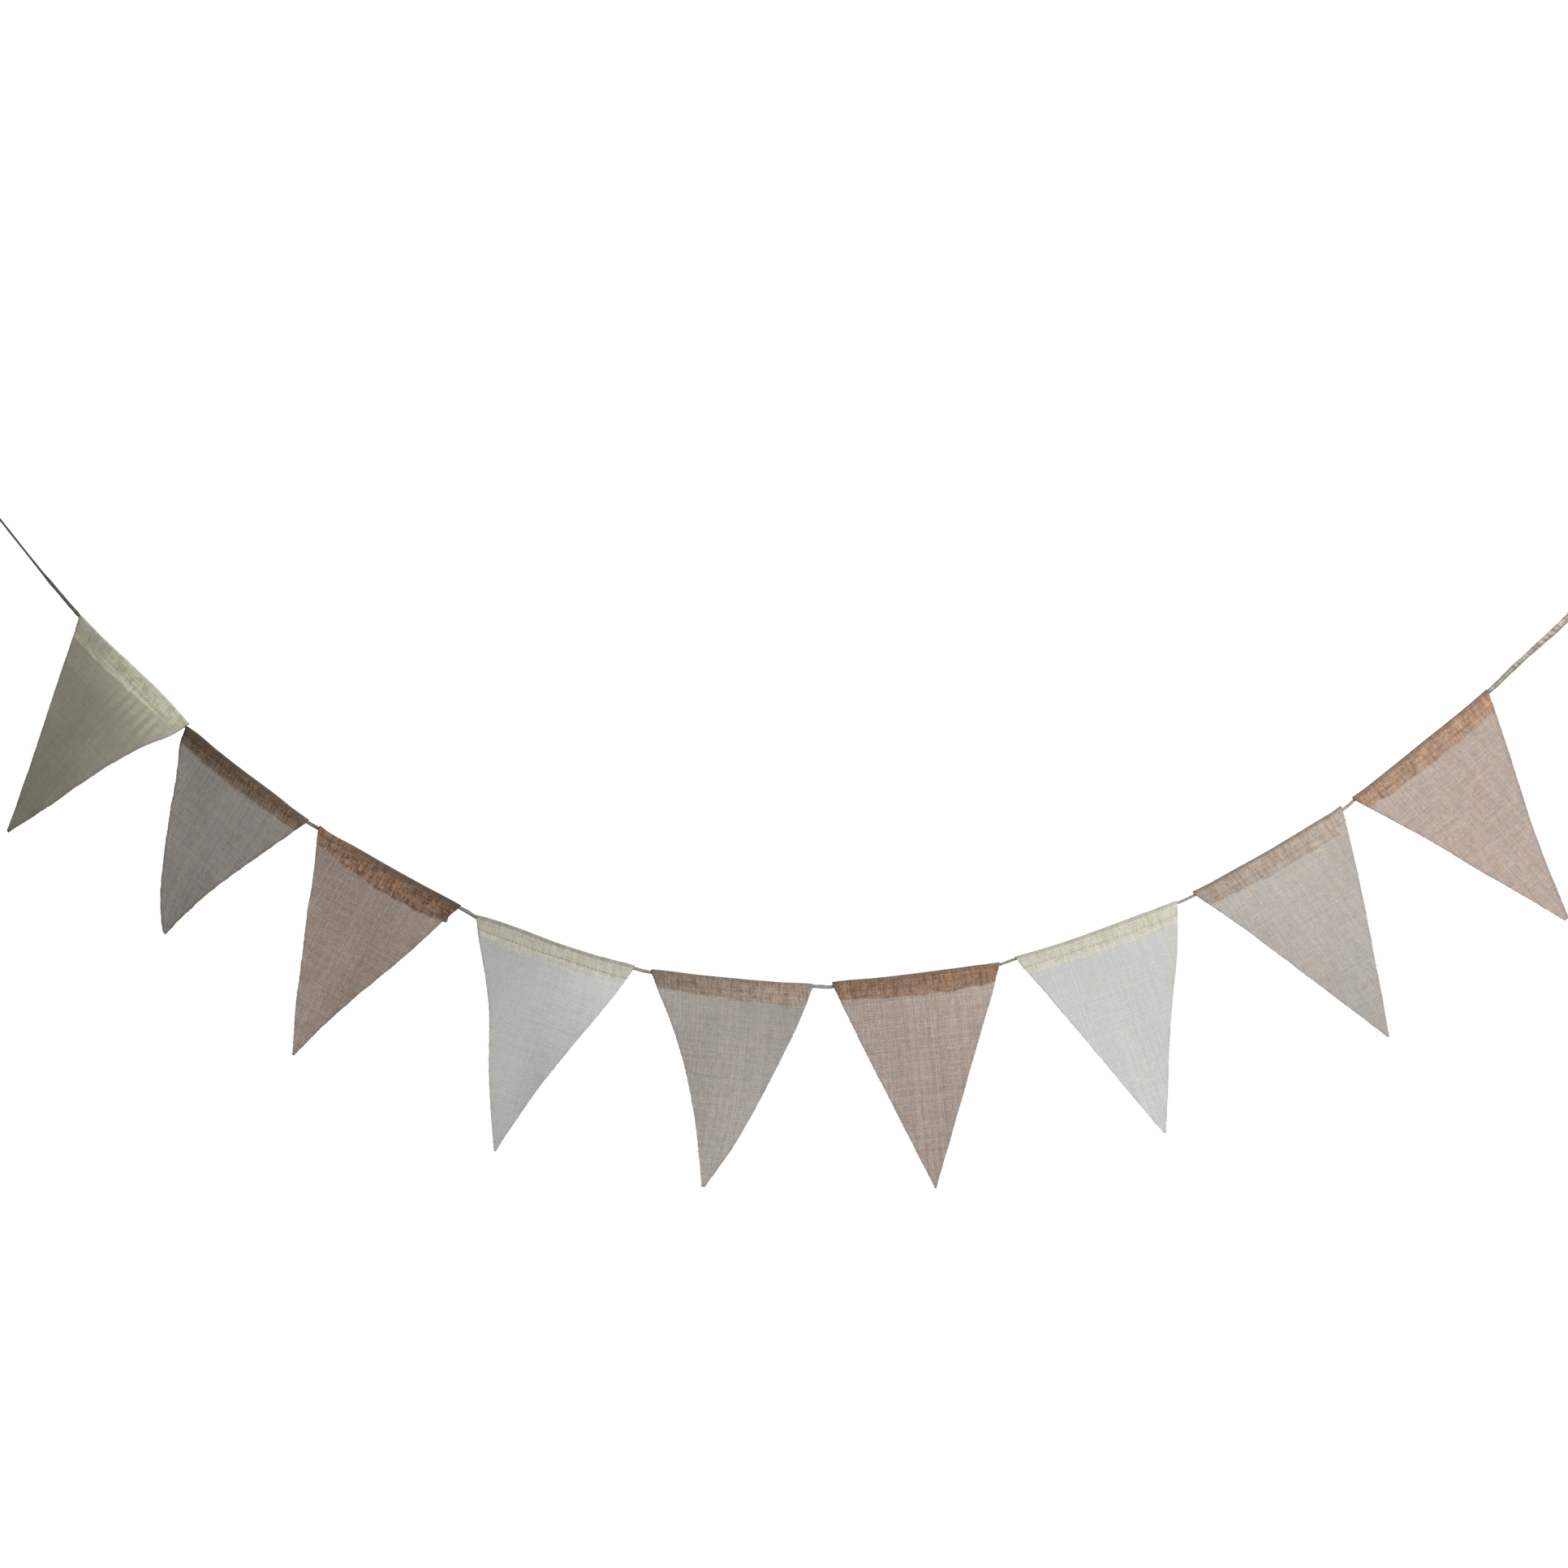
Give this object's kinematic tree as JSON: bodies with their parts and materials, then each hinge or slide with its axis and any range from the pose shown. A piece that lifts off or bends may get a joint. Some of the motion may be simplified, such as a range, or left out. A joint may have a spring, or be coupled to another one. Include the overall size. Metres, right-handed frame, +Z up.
{
  "type": "fabric bunting",
  "caption": "Hanging fabric bunting: triangular open-weave pennants hemmed over a carrying cord that sags between a hanging loop at each end.",
  "frame": {"origin": "where a hook bears inside the left hanging loop", "axes": "+X along the bunting from the left loop to the right one, +Z up, -Y the front, with the hem flaps behind"},
  "size_m": [1.4102, 0.0771, 0.6088],
  "materials": {
    "cream_cloth": "matte plain weave, slightly sheer",
    "taupe_cloth": "matte plain weave, slightly sheer",
    "brown_cloth": "matte plain weave, slightly sheer",
    "cord": "matte braided cotton"
  },
  "bodies": {
    "root": {"pennant_1": "cream_cloth", "pennant_2": "taupe_cloth", "pennant_3": "brown_cloth", "pennant_4": "cream_cloth", "pennant_5": "taupe_cloth", "pennant_6": "brown_cloth", "pennant_7": "cream_cloth", "pennant_8": "taupe_cloth", "pennant_9": "brown_cloth", "cord": "cord"}
  },
  "joints": []
}
